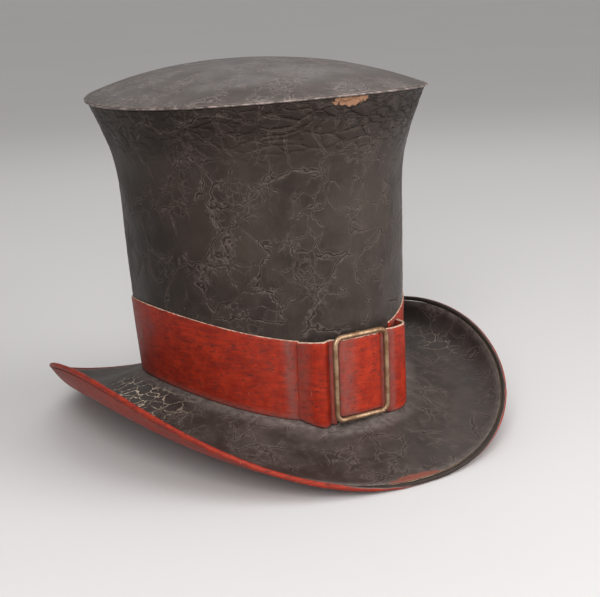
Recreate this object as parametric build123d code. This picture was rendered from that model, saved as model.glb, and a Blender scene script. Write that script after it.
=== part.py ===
from build123d import *
from math import cos, hypot, pi, radians, sin
import os

os.makedirs("parts", exist_ok=True)

# A rigid top hat. +Z is up, -Y is the front (the buckle), +X is the wearer's left.
# The origin is under the middle of the hat, on the surface that it rests on.
# All lengths are in millimetres. Angles round the hat start at the front and turn towards +X.

# ---- Driving dimensions ----
BASE_HALF_LENGTH = 103.0  # oval where the band meets the brim, front to back
BASE_HALF_WIDTH = 88.0  # the same oval, side to side
BASE_SADDLE = 9.5  # that oval dips this far at front and back, and rises as far at the sides
CROWN_HEIGHT = 201.0  # from the mean level of the base oval to the mean level of the tip's edge
TIP_SADDLE = 2.5  # the tip's edge rises this far at front and back
TIP_SHIFT = 2.5  # the tip sits this far behind the base
TIP_GROWTH_LENGTH = 17.4  # how much larger the tip's half length is than the base's
TIP_GROWTH_WIDTH = 27.6
DOME_RISE = 19.7  # crown of the tip above its own edge
DOME_POWER = 2.2
WALL_HANDLE_LOW = 0.8  # heights of the wall curve's two handles, as shares of the crown
WALL_HANDLE_HIGH = 0.67
FLARE_LENGTH = (3.75, -9.6)  # how far those handles stand out from the base oval, front to back
FLARE_WIDTH = (15.2, 0.0)

BRIM_HALF_LENGTH = 177.0
BRIM_HALF_WIDTH = 145.0
BRIM_SHIFT = -1.6
BRIM_SQUARENESS = 2.2  # exponent of the edge's oval, where 2 is an ellipse
EDGE_SWEEP = 29.0  # the edge drops this far at front and back, and curls up as far at the sides
EDGE_RIPPLE = 1.5
BRIM_INNER_SLOPE = -11.6  # degrees, where the brim leaves the crown
BRIM_END_SLOPE_FRONT = -13.0  # degrees, at the edge
BRIM_END_SLOPE_SIDE = 79.0
CURL_POWER = 1.14  # how quickly the flat front turns into the curled side
CURL_EASE = 0.004  # rounds the start of that turn
INNER_HANDLE = 0.37  # the brim curve's handles as shares of its length, at the front
OUTER_HANDLE = 0.42
INNER_HANDLE_CURL = 0.04  # and how much longer they are at the sides
OUTER_HANDLE_CURL = 0.16

BAND_HEIGHT = 54.0
BAND_THICKNESS = 1.2
WALL_THICKNESS = 2.0
BOARD_THICKNESS = 1.2
TIP_THICKNESS = 2.0
GLUE_GAP = 0.1
SKIN_THICKNESS = 0.8
BRIM_BOARD_THICKNESS = 1.4
ROLL_RADIUS = 1.75  # rolled edge of the brim
EDGE_WIRE_RADIUS = 0.8
SWEATBAND_HEIGHT = 46.0
SWEATBAND_THICKNESS = 1.2
LINING_THICKNESS = 0.4
LINING_GAP = 0.5

STRAP_THICKNESS = 1.8
BUCKLE_HALF_WIDTH = 20.0  # to the middle of the wire
BUCKLE_WIRE_RADIUS = 1.8
BUCKLE_CORNER_RADIUS = 5.0
BUCKLE_FRONT = -112.5  # Y of the wire's middle
BUCKLE_LOW = -5.5  # from the mean level of the base oval to the lower wire's middle
BUCKLE_HIGH = 49.7
BAR_RADIUS = 1.3
BAR_OVERLAP = 1.2  # the bar's ends run this far past the middles of the upper and lower wires
RUNNING_CLEARANCE = 0.05
WELT_RADIUS = 0.7  # cord in the seam at the tip's edge
PIPING_RADIUS = 0.9  # cord along the sweatband's lower edge
BINDING_OPENING = 150.0  # degrees of the roll to each side of its outermost line
COLLAR_HEIGHT = 12.0
BAND_END_ANGLE = 26.2  # degrees from the front to each end of the band, close to the edge of the strap
STITCH_COUNT = 72
STITCH_RADIUS = 0.3
STITCH_LENGTH = 4.5
STITCH_LEVEL = 3.0  # above the base oval
SEAM_STRIP_WIDTH = 24.0
SEAM_STRIP_THICKNESS = 0.6
SEAM_STRIP_GAP = 1.6  # from the lining to the middle of the strip
LINING_SHARES = (0.08, 0.9)  # the side lining's lower and upper edges, as shares of the crown
LINING_TIP_INSET = 12.5  # from the foundation to the edge of the lining's top
LINING_TIP_DROP = 18.0
TIP_BOARD_GAP = 2.0
STRAP_TOP = 47.4  # above the base oval's mean level, at the front of the wall
STRAP_FOOT = 7.8  # below it
STRAP_TOP_SLOPE = 0.05
STRAP_FOOT_SLOPE = 0.3
STRAP_LEVELS = (-15.0, 25.0, 65.0)  # its sections, from below its foot to above its top
NOTCH_SIZE = 20.0
# The strap's profile: distances from the middle, with how far behind the wire's middle.
STRAP_MIDDLE = ((0.0, -0.5), (9.0, -0.1), (16.0, 1.1))
STRAP_GROOVE = ((18.2, 4.0), (20.3, 5.8), (22.3, 4.7))
STRAP_RIGHT_ROLL = ((25.5, 3.6), (30.5, 6.4))  # the narrow roll, on the wearer's right
STRAP_RIGHT_EDGE = ((35.0, 5.9), (37.6, 2.4))  # distance from the middle, and off the wall
STRAP_LEFT_ROLL = ((27.5, 3.6), (34.5, 4.6), (41.0, 7.8), (45.0, 12.5))
STRAP_LEFT_EDGE = ((47.5, 2.6),)

# ---- Values worked out from them ----
HALF_STEPS = 12  # spans of the spline in half of each ring
WALL_RINGS = 12  # spans up a wall
DOME_RINGS = 7
DOME_HOLE = 0.06  # share at which a domed disc's last ring is closed by a flat cap
BRIM_RINGS = 8
LINING_RINGS = 10
ROLL_RINGS = 10
TUBE_RINGS = 6  # spans across half of a cord
BACK_POINTS = 60  # spans in the line of the strap's back
BISECTIONS = 40
NUDGE = 0.0001  # step for a direction
END_SLOPE_FRONT = radians(BRIM_END_SLOPE_FRONT)
END_SLOPE_SIDE = radians(BRIM_END_SLOPE_SIDE)
BRIM_THICKNESS = 2 * SKIN_THICKNESS + BRIM_BOARD_THICKNESS + 2 * GLUE_GAP
ROLL_DROP = ROLL_RADIUS * (1 + cos(END_SLOPE_FRONT) + sin(END_SLOPE_FRONT))
SEAT_HEIGHT = EDGE_SWEEP + EDGE_RIPPLE + ROLL_DROP  # mean level of the base oval
WALL_INSET = BAND_THICKNESS
BOARD_INSET = WALL_INSET + WALL_THICKNESS + GLUE_GAP
HEAD_INSET = BOARD_INSET + BOARD_THICKNESS
COLLAR_INSET = HEAD_INSET + GLUE_GAP
SWEATBAND_INSET = COLLAR_INSET + SKIN_THICKNESS + 2 * GLUE_GAP


# ---- Curves and surfaces of the hat ----
def bezier(t, start, first, second, end):
    return (1 - t) ** 3 * start + 3 * (1 - t) ** 2 * t * first + 3 * (1 - t) * t**2 * second + t**3 * end


def wall_parameter(share):
    """The wall curve's parameter at a share of the crown's height."""
    low = 0.0
    high = 1.0
    for _ in range(BISECTIONS):
        middle = (low + high) / 2
        if bezier(middle, 0, WALL_HANDLE_LOW, WALL_HANDLE_HIGH, 1) < share:
            low = middle
        else:
            high = middle
    return (low + high) / 2


def base_level(theta):
    return SEAT_HEIGHT - BASE_SADDLE * cos(2 * theta)


def tip_level(theta):
    return SEAT_HEIGHT + CROWN_HEIGHT + TIP_SADDLE * cos(2 * theta)


def wall_point(theta, level, inset):
    """A point of the bell-shaped wall at a height, moved in by inset."""
    share = (level - base_level(theta)) / (tip_level(theta) - base_level(theta))
    t = wall_parameter(max(share, 0.0))
    half_length = BASE_HALF_LENGTH - inset + bezier(t, 0, *FLARE_LENGTH, TIP_GROWTH_LENGTH)
    half_width = BASE_HALF_WIDTH - inset + bezier(t, 0, *FLARE_WIDTH, TIP_GROWTH_WIDTH)
    return Vector(half_width * sin(theta), TIP_SHIFT * share - half_length * cos(theta), level)


def base_point(theta, inset, lift):
    x = (BASE_HALF_WIDTH - inset) * sin(theta)
    y = -(BASE_HALF_LENGTH - inset) * cos(theta)
    return Vector(x, y, base_level(theta) + lift)


def edge_point(theta):
    """A point on the brim's outermost edge."""
    along = (abs(cos(theta)) / BRIM_HALF_LENGTH) ** BRIM_SQUARENESS
    across = (abs(sin(theta)) / BRIM_HALF_WIDTH) ** BRIM_SQUARENESS
    reach = (along + across) ** (-1 / BRIM_SQUARENESS)
    z = SEAT_HEIGHT - EDGE_SWEEP * cos(2 * theta) - EDGE_RIPPLE * cos(4 * theta)
    return Vector(reach * sin(theta), BRIM_SHIFT - reach * cos(theta), z)


def curl_at(theta):
    """0 at the front and back, 1 at the sides, and smooth where the two halves of the hat meet."""
    low = CURL_EASE ** (CURL_POWER / 2)
    high = (1 + CURL_EASE) ** (CURL_POWER / 2)
    return ((sin(theta) ** 2 + CURL_EASE) ** (CURL_POWER / 2) - low) / (high - low)


def brim_section(theta):
    """The brim's curve at an angle: its start, its level outward direction and four control points."""
    start = base_point(theta, 0, 0)
    end = edge_point(theta)
    run = hypot(end.X - start.X, end.Y - start.Y)
    outward = Vector(end.X - start.X, end.Y - start.Y, 0).normalized()
    curl = curl_at(theta)
    end_slope = END_SLOPE_FRONT + (END_SLOPE_SIDE - END_SLOPE_FRONT) * curl
    length = hypot(run, end.Z - start.Z)
    first = (INNER_HANDLE + INNER_HANDLE_CURL * curl) * length
    last = (OUTER_HANDLE + OUTER_HANDLE_CURL * curl) * length
    inner = radians(BRIM_INNER_SLOPE)
    controls = [
        (0.0, 0.0),
        (first * cos(inner), first * sin(inner)),
        (run - last * cos(end_slope), end.Z - start.Z - last * sin(end_slope)),
        (run, end.Z - start.Z),
    ]
    return start, outward, controls, end_slope, last


def brim_point(theta, share, depth):
    """A point of the brim: share runs from the crown to the edge, depth goes down through the brim."""
    start, outward, controls, _, _ = brim_section(theta)
    runs = [control[0] for control in controls]
    rises = [control[1] for control in controls]
    run = bezier(share, *runs)
    rise = bezier(share, *rises)
    ahead = min(share + NUDGE, 1.0)
    behind = ahead - NUDGE
    slope_run = bezier(ahead, *runs) - bezier(behind, *runs)
    slope_rise = bezier(ahead, *rises) - bezier(behind, *rises)
    size = hypot(slope_run, slope_rise)
    run += depth * slope_rise / size
    rise -= depth * slope_run / size
    return start + outward * run + Vector(0, 0, rise)


def layer_end(theta):
    """The share at which the brim's layers stop, just inside the rolled edge."""
    last = brim_section(theta)[4]
    return 1 - (2 * ROLL_RADIUS + GLUE_GAP) / (3 * last)


def roll_frame(theta):
    """The middle of the rolled edge, the direction out of the brim there and the one down through it."""
    _, outward, _, end_slope, _ = brim_section(theta)
    out = outward * cos(end_slope) + Vector(0, 0, sin(end_slope))
    down = outward * sin(end_slope) - Vector(0, 0, cos(end_slope))
    return edge_point(theta) - out * ROLL_RADIUS + down * ROLL_RADIUS, out, down


# ---- Solids from curves ----
def ring(point_at):
    """A closed smooth line round the hat, as its two halves, which meet squarely at the front and back."""
    even = [i / HALF_STEPS for i in range(HALF_STEPS + 1)]

    def tangent(theta):
        across = point_at(theta + NUDGE).X - point_at(theta - NUDGE).X
        return Vector(pi * across / (2 * NUDGE), 0, 0)

    halves = []
    for start in (0, pi):
        points = [point_at(start + pi * share) for share in even]
        ends = [tangent(start), tangent(start + pi)]
        halves.append(Wire([Edge.make_spline(points, tangents=ends, parameters=even, scale=False)]))
    return halves


def skin(rings, ruled=False):
    """The surface through a stack of rings."""
    faces = []
    for halves in zip(*rings):
        faces += Shell.make_loft(list(halves), ruled=ruled).faces()
    return faces


def strip(first, second):
    return skin([first, second], ruled=True)


def sewn(faces):
    return Solid(Shell(faces))


def hoop(outer, inner):
    """A wall between two stacks of rings, each from its bottom to its top."""
    return sewn(skin(outer) + skin(inner) + strip(outer[0], inner[0]) + strip(outer[-1], inner[-1]))


def round_tube(frame_at, radius):
    """A cord that runs right round the hat. frame_at gives its middle and two directions across it."""

    def line(angle):
        def point(theta):
            middle, first, second = frame_at(theta)
            return middle + first * (radius * cos(angle)) + second * (radius * sin(angle))

        return ring(point)

    half = [pi * i / TUBE_RINGS for i in range(TUBE_RINGS + 1)]
    return sewn(skin([line(angle) for angle in half]) + skin([line(pi + angle) for angle in half]))


def save(name, shape):
    shape.label = name
    export_step(shape, f"parts/{name}.step")


# ---- Crown ----
def wall_ring(level_at, inset):
    return ring(lambda theta: wall_point(theta, level_at(theta), inset))


def level_between(share, bottom_lift, top_drop):
    """A level between just above the base oval and just below the tip's edge, as a function of angle."""

    def level(theta):
        bottom = base_level(theta) + bottom_lift
        top = tip_level(theta) - top_drop
        return bottom + (top - bottom) * share

    return level


def wall_hoop(inset, thickness, bottom_lift, top_drop):
    levels = [level_between(i / WALL_RINGS, bottom_lift, top_drop) for i in range(WALL_RINGS + 1)]
    outer = [wall_ring(level, inset) for level in levels]
    inner = [wall_ring(level, inset + thickness) for level in levels]
    return hoop(outer, inner)


def crown_side():
    return wall_hoop(WALL_INSET, WALL_THICKNESS, GLUE_GAP, TIP_THICKNESS + GLUE_GAP)


def crown_foundation():
    return wall_hoop(BOARD_INSET, BOARD_THICKNESS, GLUE_GAP, TIP_THICKNESS + GLUE_GAP)


def dome_ring(scale, inset, drop):
    """A ring of the domed tip, at a share of the way out from its middle."""

    def point(theta):
        rim = wall_point(theta, tip_level(theta), inset)
        rise = DOME_RISE * (1 - scale**DOME_POWER)
        level = SEAT_HEIGHT + CROWN_HEIGHT + rise - drop
        if scale > DOME_HOLE:
            level += TIP_SADDLE * cos(2 * theta) * scale**2
        return Vector(rim.X * scale, TIP_SHIFT + (rim.Y - TIP_SHIFT) * scale, level)

    return ring(point)


def dome(inset, drop, thickness):
    """A thin domed disc under or at the tip."""
    scales = [1 - (1 - DOME_HOLE) * i / DOME_RINGS for i in range(DOME_RINGS)] + [DOME_HOLE]
    upper = [dome_ring(scale, inset, drop) for scale in scales]
    lower = [dome_ring(scale, inset, drop + thickness) for scale in scales]
    caps = [Face(Wire(ring[0].edges() + ring[1].edges())) for ring in (upper[-1], lower[-1])]
    return sewn(skin(upper) + skin(lower) + strip(upper[0], lower[0]) + caps)


def crown_tip():
    return dome(WALL_INSET, 0, TIP_THICKNESS)


def tip_foundation():
    return dome(HEAD_INSET + TIP_BOARD_GAP, TIP_THICKNESS + GLUE_GAP, BOARD_THICKNESS)


def tip_welt():
    """The thin cord in the seam between the tip and the wall."""

    def frame_at(theta):
        rim = wall_point(theta, tip_level(theta), WALL_INSET)
        out = Vector(sin(theta), -cos(theta), 0)
        middle = rim + out * (WELT_RADIUS + GLUE_GAP) - Vector(0, 0, TIP_THICKNESS / 2)
        return middle, out, Vector(0, 0, 1)

    return round_tube(frame_at, WELT_RADIUS)


def lining_side():
    low, high = LINING_SHARES
    shares = [low + (high - low) * i / LINING_RINGS for i in range(LINING_RINGS + 1)]
    levels = [level_between(share, 0, TIP_THICKNESS) for share in shares]
    inset = HEAD_INSET + LINING_GAP
    outer = [wall_ring(level, inset) for level in levels]
    inner = [wall_ring(level, inset + LINING_THICKNESS) for level in levels]
    return hoop(outer, inner)


def lining_tip():
    return dome(HEAD_INSET + LINING_TIP_INSET, LINING_TIP_DROP, LINING_THICKNESS)


def back_seam_strip():
    """The stiff strip over the crown's back seam, between the lining and the sweatband's back."""

    def section(level):
        reach = wall_point(pi, level, HEAD_INSET + LINING_GAP + LINING_THICKNESS).Y - SEAM_STRIP_GAP
        outline = Rectangle(SEAM_STRIP_WIDTH, SEAM_STRIP_THICKNESS)
        return Plane.XY.offset(level) * outline.moved(Location((0, reach, 0)))

    levels = [SEAT_HEIGHT + CROWN_HEIGHT * share for share in (0.3, 0.45, 0.6, 0.75)]
    return Solid.make_loft([section(level).wire() for level in levels])


# ---- Brim ----
def brim_rings(depth):
    """Rings of one face of a brim layer, from the head opening out to the rolled edge."""
    rings = [ring(lambda theta: base_point(theta, HEAD_INSET, -depth))]
    for share in (i / BRIM_RINGS for i in range(BRIM_RINGS + 1)):
        rings.append(ring(lambda theta, share=share: brim_point(theta, share * layer_end(theta), depth)))
    return rings


def brim_layer(depth, thickness):
    upper = brim_rings(depth)
    lower = brim_rings(depth + thickness)
    faces = strip(upper[0], upper[1]) + skin(upper[1:])
    faces += strip(lower[0], lower[1]) + skin(lower[1:])
    faces += strip(upper[0], lower[0]) + strip(upper[-1], lower[-1])
    return sewn(faces)


def brim_top():
    return brim_layer(0, SKIN_THICKNESS)


def brim_board():
    return brim_layer(SKIN_THICKNESS + GLUE_GAP, BRIM_BOARD_THICKNESS)


def brim_underside():
    return brim_layer(BRIM_THICKNESS - SKIN_THICKNESS, SKIN_THICKNESS)


def brim_edge_wire():
    return round_tube(roll_frame, EDGE_WIRE_RADIUS)


def brim_binding():
    """The skin rolled round the edge wire, open on the side that faces the brim's layers."""
    inner_radius = EDGE_WIRE_RADIUS + RUNNING_CLEARANCE
    opening = radians(BINDING_OPENING)

    def line(radius, angle):
        def point(theta):
            middle, out, down = roll_frame(theta)
            return middle + out * (radius * cos(angle)) + down * (radius * sin(angle))

        return ring(point)

    angles = [-opening + 2 * opening * i / ROLL_RINGS for i in range(ROLL_RINGS + 1)]
    outer = [line(ROLL_RADIUS, angle) for angle in angles]
    inner = [line(inner_radius, angle) for angle in angles]
    return hoop(outer, inner)


def brim_collar():
    """The upright lip of the brim inside the crown, which joins the two."""
    stack = (-BRIM_THICKNESS, 0.0, COLLAR_HEIGHT)
    outer = [ring(lambda theta, lift=lift: base_point(theta, COLLAR_INSET, lift)) for lift in stack]
    inner_inset = COLLAR_INSET + SKIN_THICKNESS
    inner = [ring(lambda theta, lift=lift: base_point(theta, inner_inset, lift)) for lift in stack]
    return hoop(outer, inner)


# ---- Inside the head opening ----
def sweatband():
    stack = (-BRIM_THICKNESS, SWEATBAND_HEIGHT / 2, SWEATBAND_HEIGHT)
    outer = [ring(lambda theta, lift=lift: base_point(theta, SWEATBAND_INSET, lift)) for lift in stack]
    inner_inset = SWEATBAND_INSET + SWEATBAND_THICKNESS
    inner = [ring(lambda theta, lift=lift: base_point(theta, inner_inset, lift)) for lift in stack]
    return hoop(outer, inner)


def sweatband_welt():
    """The corded piping along the sweatband's lower edge."""
    inset = SWEATBAND_INSET + SWEATBAND_THICKNESS / 2

    def frame_at(theta):
        middle = base_point(theta, inset, -BRIM_THICKNESS - PIPING_RADIUS - GLUE_GAP)
        return middle, Vector(sin(theta), -cos(theta), 0), Vector(0, 0, 1)

    return round_tube(frame_at, PIPING_RADIUS)


def sweatband_stitches():
    """Short stitches that lie on the sweatband's inner face, just above its lower edge."""
    inset = SWEATBAND_INSET + SWEATBAND_THICKNESS + STITCH_RADIUS + GLUE_GAP
    stitches = []
    for i in range(STITCH_COUNT):
        theta = 2 * pi * (i + 0.5) / STITCH_COUNT
        middle = base_point(theta, inset, STITCH_LEVEL)
        along = (base_point(theta + NUDGE, inset, STITCH_LEVEL) - middle).normalized()
        start = middle - along * (STITCH_LENGTH / 2)
        stitches.append(Solid.make_cylinder(STITCH_RADIUS, STITCH_LENGTH, Plane(origin=start, z_dir=along)))
    return Compound(stitches)


# ---- Band and buckle ----
def band_arc(share, inset):
    """A line along the band, from its left end round the back to its right end."""
    end_angle = radians(BAND_END_ANGLE)
    points = []
    steps = 2 * HALF_STEPS
    for i in range(steps + 1):
        theta = end_angle + (2 * pi - 2 * end_angle) * i / steps
        bottom = base_level(theta) + GLUE_GAP
        top = SEAT_HEIGHT + BAND_HEIGHT - BASE_SADDLE * cos(2 * theta)
        points.append(wall_point(theta, bottom + (top - bottom) * share, inset))
    return Edge.make_spline(points)


def hat_band():
    shares = [i / 3 for i in range(4)]
    outer_arcs = [band_arc(share, 0) for share in shares]
    inner_arcs = [band_arc(share, BAND_THICKNESS - GLUE_GAP) for share in shares]
    outer = Shell.make_loft([Wire([arc]) for arc in outer_arcs])
    inner = Shell.make_loft([Wire([arc]) for arc in inner_arcs])
    faces = list(outer.faces()) + list(inner.faces())
    for i in (0, -1):
        faces.append(Face.make_surface_from_curves(outer_arcs[i], inner_arcs[i]))
    for end in (0, 1):
        near = outer_arcs[1].position_at(end)
        outer_side = outer.edges().sort_by_distance(near)[0]
        inner_side = inner.edges().sort_by_distance(inner_arcs[1].position_at(end))[0]
        faces.append(Face.make_surface_from_curves(outer_side, inner_side))
    return sewn(faces)


def wall_front(x, level):
    """Y of the wall's front at a distance from the middle."""
    low = 0.0
    high = pi / 2
    for _ in range(BISECTIONS):
        middle = (low + high) / 2
        if wall_point(middle, level, WALL_INSET).X < x:
            low = middle
        else:
            high = middle
    return wall_point(low, level, WALL_INSET).Y


def strap_section(level):
    """The strap seen from above: a low middle bulge, a groove for each side wire, and two side rolls."""

    def half(roll, edge):
        side = [(x, BUCKLE_FRONT + behind_wire) for x, behind_wire in STRAP_MIDDLE + STRAP_GROOVE + roll]
        return side + [(x, wall_front(x, level) - off_wall) for x, off_wall in edge]

    right = half(STRAP_RIGHT_ROLL, STRAP_RIGHT_EDGE)
    left = half(STRAP_LEFT_ROLL, STRAP_LEFT_EDGE)
    outline = [(-x, y) for x, y in right[:0:-1]] + left
    outer = Edge.make_spline([Vector(x, y, level) for x, y in outline])
    behind = []
    for i in range(BACK_POINTS + 1):
        tangent = outer.tangent_at(i / BACK_POINTS)
        inward = Vector(-tangent.Y, tangent.X, 0)
        behind.append(outer.position_at(i / BACK_POINTS) + inward * STRAP_THICKNESS)
    inner = Edge.make_spline(behind)
    ends = [Edge.make_line(outer.position_at(i), inner.position_at(i)) for i in (0, 1)]
    return Wire([outer, ends[1], inner, ends[0]])


def buckle_strap():
    """The stiff strap over the front, trimmed to the sloping brim and let into the buckle's opening."""
    tall = Solid.make_loft([strap_section(SEAT_HEIGHT + level) for level in STRAP_LEVELS])
    foot = (0, -BASE_HALF_LENGTH, SEAT_HEIGHT - STRAP_FOOT)
    head = (0, -BASE_HALF_LENGTH, SEAT_HEIGHT + STRAP_TOP)
    foot_plane = Plane(origin=foot, x_dir=(1, 0, 0), z_dir=(0, -STRAP_FOOT_SLOPE, 1))
    head_plane = Plane(origin=head, x_dir=(1, 0, 0), z_dir=(0, STRAP_TOP_SLOPE, 1))
    trimmed = split(tall, bisect_by=foot_plane, keep=Keep.TOP)
    trimmed = split(trimmed, bisect_by=head_plane, keep=Keep.BOTTOM)
    width = 2 * (BUCKLE_HALF_WIDTH - BUCKLE_WIRE_RADIUS + 4 * RUNNING_CLEARANCE)
    notch = Box(width, NOTCH_SIZE, NOTCH_SIZE)
    away = BUCKLE_WIRE_RADIUS + 5 * RUNNING_CLEARANCE + NOTCH_SIZE / 2
    y = BUCKLE_FRONT + NOTCH_SIZE / 4
    below = notch.moved(Location((0, y, SEAT_HEIGHT + BUCKLE_LOW + away - NOTCH_SIZE)))
    above = notch.moved(Location((0, y, SEAT_HEIGHT + BUCKLE_HIGH - away + NOTCH_SIZE)))
    return trimmed - below - above


def buckle_frame():
    height = BUCKLE_HIGH - BUCKLE_LOW
    middle = SEAT_HEIGHT + (BUCKLE_HIGH + BUCKLE_LOW) / 2
    face = Plane(origin=(0, BUCKLE_FRONT, middle), x_dir=(1, 0, 0), z_dir=(0, -1, 0))
    path = (face * RectangleRounded(2 * BUCKLE_HALF_WIDTH, height, BUCKLE_CORNER_RADIUS)).wire()
    start = path.position_at(0)
    wire_section = Plane(origin=start, z_dir=path.tangent_at(0)) * Circle(BUCKLE_WIRE_RADIUS)
    return sweep(wire_section, path=path)


def bar_middle():
    strap_back = BUCKLE_FRONT + STRAP_MIDDLE[0][1] + STRAP_THICKNESS
    return strap_back + RUNNING_CLEARANCE + BAR_RADIUS


def buckle_bar(frame):
    """The straight bar behind the strap, brazed to the backs of the upper and lower wires."""
    low = SEAT_HEIGHT + BUCKLE_LOW - BAR_OVERLAP
    high = SEAT_HEIGHT + BUCKLE_HIGH + BAR_OVERLAP
    bar = Solid.make_cylinder(BAR_RADIUS, high - low, Plane(origin=(0, bar_middle(), low), z_dir=(0, 0, 1)))
    return bar - frame


save("crown_side", crown_side())
save("crown_foundation", crown_foundation())
save("crown_tip", crown_tip())
save("tip_foundation", tip_foundation())
save("tip_welt", tip_welt())
save("lining_side", lining_side())
save("lining_tip", lining_tip())
save("back_seam_strip", back_seam_strip())
save("brim_top", brim_top())
save("brim_board", brim_board())
save("brim_underside", brim_underside())
save("brim_edge_wire", brim_edge_wire())
save("brim_binding", brim_binding())
save("brim_collar", brim_collar())
save("sweatband", sweatband())
save("sweatband_welt", sweatband_welt())
save("sweatband_stitches", sweatband_stitches())
save("hat_band", hat_band())
save("buckle_strap", buckle_strap())
frame = buckle_frame()
save("buckle_frame", frame)
save("buckle_bar", buckle_bar(frame))
print("buckle bar axis, y", round(bar_middle(), 3), "seat height", round(SEAT_HEIGHT, 3))
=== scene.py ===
import math

import bmesh
import bpy
import numpy as np
from mathutils import Matrix, Vector


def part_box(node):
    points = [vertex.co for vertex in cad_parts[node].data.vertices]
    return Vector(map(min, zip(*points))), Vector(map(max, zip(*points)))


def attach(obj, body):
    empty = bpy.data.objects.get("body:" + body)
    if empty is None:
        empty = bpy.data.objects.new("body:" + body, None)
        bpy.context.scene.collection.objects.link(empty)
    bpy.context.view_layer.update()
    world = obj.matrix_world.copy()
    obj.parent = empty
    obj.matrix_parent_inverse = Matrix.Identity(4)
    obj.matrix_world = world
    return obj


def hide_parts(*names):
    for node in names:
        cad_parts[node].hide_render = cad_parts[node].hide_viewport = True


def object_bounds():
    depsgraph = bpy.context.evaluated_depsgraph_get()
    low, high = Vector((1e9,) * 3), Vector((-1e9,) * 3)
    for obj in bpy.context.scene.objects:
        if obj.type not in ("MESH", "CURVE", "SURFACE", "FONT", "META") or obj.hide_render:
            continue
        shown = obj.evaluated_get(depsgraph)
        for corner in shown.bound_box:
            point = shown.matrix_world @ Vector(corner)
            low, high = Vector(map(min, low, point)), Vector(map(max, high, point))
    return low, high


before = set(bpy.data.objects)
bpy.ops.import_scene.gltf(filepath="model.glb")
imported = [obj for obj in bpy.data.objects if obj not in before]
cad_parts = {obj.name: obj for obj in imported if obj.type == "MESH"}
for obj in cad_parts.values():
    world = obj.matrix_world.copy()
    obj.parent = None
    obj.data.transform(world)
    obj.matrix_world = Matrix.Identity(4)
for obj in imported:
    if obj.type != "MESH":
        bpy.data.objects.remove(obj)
cad_low, cad_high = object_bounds()

# An old painted top hat, in metres. +Z is up and -Y is the front, where the buckle is.
# Angles round the hat start at the front and turn towards +X. A share runs from 0 to 1 along a surface.
MM = 0.001
TURN = 2 * math.pi

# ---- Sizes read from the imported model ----
collar_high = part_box("brim_collar")[1]
tip_low, tip_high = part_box("crown_tip")
edge_low, edge_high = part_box("brim_binding")
buckle_low, buckle_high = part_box("buckle_frame")
strap_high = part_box("buckle_strap")[1]

# ---- Thicknesses and insets of the layers ----
GAP = 0.1 * MM
WALL_INSET = 1.2 * MM
WALL_THICKNESS = 2.0 * MM
HEAD_INSET = 4.5 * MM
COLLAR_INSET = 4.6 * MM
SWEATBAND_INSET = 5.6 * MM
SWEATBAND_THICKNESS = 1.2 * MM
SWEATBAND_HEIGHT = 46 * MM
BAND_HEIGHT = 54 * MM
BAND_THICKNESS = 1.1 * MM
STRAP_THICKNESS = 1.8 * MM
SKIN = 0.8 * MM
BRIM_THICKNESS = 3.2 * MM
ROLL_RADIUS = 1.75 * MM
ROLL_HOLLOW = 0.9 * MM
LINING = 0.4 * MM
LINING_INSET = 5.0 * MM
LINING_TOP_INSET = 12.5 * MM
LINING_TOP_DROP = 18 * MM
RIM_GAP = 2.1 * MM
WELT_RADIUS = 0.62 * MM
WELT_OUT = 0.75 * MM
WELT_DROP = 1.0 * MM
PIPING_RADIUS = 0.85 * MM
STITCH_COUNT = 72
STITCH_RADIUS = 0.32 * MM
STITCH_ARCH = 0.3 * MM
STITCH_LEVEL = 3 * MM
STITCH_HALF_ANGLE = math.radians(1.35)

# ---- Shape of the hat, as in the CAD ----
BASE_SADDLE = 9.5 * MM
TIP_SADDLE = 2.5 * MM
DOME_RISE = 19.7 * MM
DOME_POWER = 2.2
EDGE_SWEEP = 29 * MM
EDGE_RIPPLE = 1.5 * MM
BRIM_SQUARENESS = 2.2
INNER_SLOPE = math.radians(-11.6)
END_SLOPE_FRONT = math.radians(-13)
END_SLOPE_SIDE = math.radians(79)
CURL_POWER = 1.14
CURL_EASE = 0.004
INNER_HANDLES = (0.37, 0.41)
OUTER_HANDLES = (0.42, 0.58)
WALL_HANDLES = (0.8, 0.67)
LENGTH_SWELL = (3.75 * MM, -9.6 * MM)
WIDTH_SWELL = (15.2 * MM, 0.0)

BASE_HALF_WIDTH = collar_high.x + COLLAR_INSET
BASE_HALF_LENGTH = collar_high.y + COLLAR_INSET
TIP_SHIFT = (tip_high.y + tip_low.y) / 2
TIP_GROWTH_WIDTH = tip_high.x + WALL_INSET - BASE_HALF_WIDTH
TIP_GROWTH_LENGTH = (tip_high.y - tip_low.y) / 2 + WALL_INSET - BASE_HALF_LENGTH
ROLL_DROP = ROLL_RADIUS * (1 + math.cos(END_SLOPE_FRONT) + math.sin(END_SLOPE_FRONT))
SEAT = cad_low.z + EDGE_SWEEP + EDGE_RIPPLE + ROLL_DROP
CROWN_HEIGHT = tip_high.z - DOME_RISE - SEAT
BRIM_SHIFT = (edge_low.y + edge_high.y) / 2
BRIM_HALF_LENGTH = (edge_high.y - edge_low.y) / 2 - 2 * ROLL_RADIUS + ROLL_DROP
BRIM_HALF_WIDTH = edge_high.x - ROLL_RADIUS * (1 + math.sin(END_SLOPE_SIDE) - math.cos(END_SLOPE_SIDE))
WIRE_RADIUS = (buckle_high.y - buckle_low.y) / 2
WIRE_FRONT = (buckle_high.y + buckle_low.y) / 2


# ---- Curves and surfaces ----
def lerp(a, b, share):
    return a + (b - a) * share


def smooth(low, high, value):
    t = np.clip((value - low) / (high - low), 0, 1)
    return t * t * (3 - 2 * t)


def bezier(t, a, b, c, d):
    return (1 - t) ** 3 * a + 3 * (1 - t) ** 2 * t * b + 3 * (1 - t) * t**2 * c + t**3 * d


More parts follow.
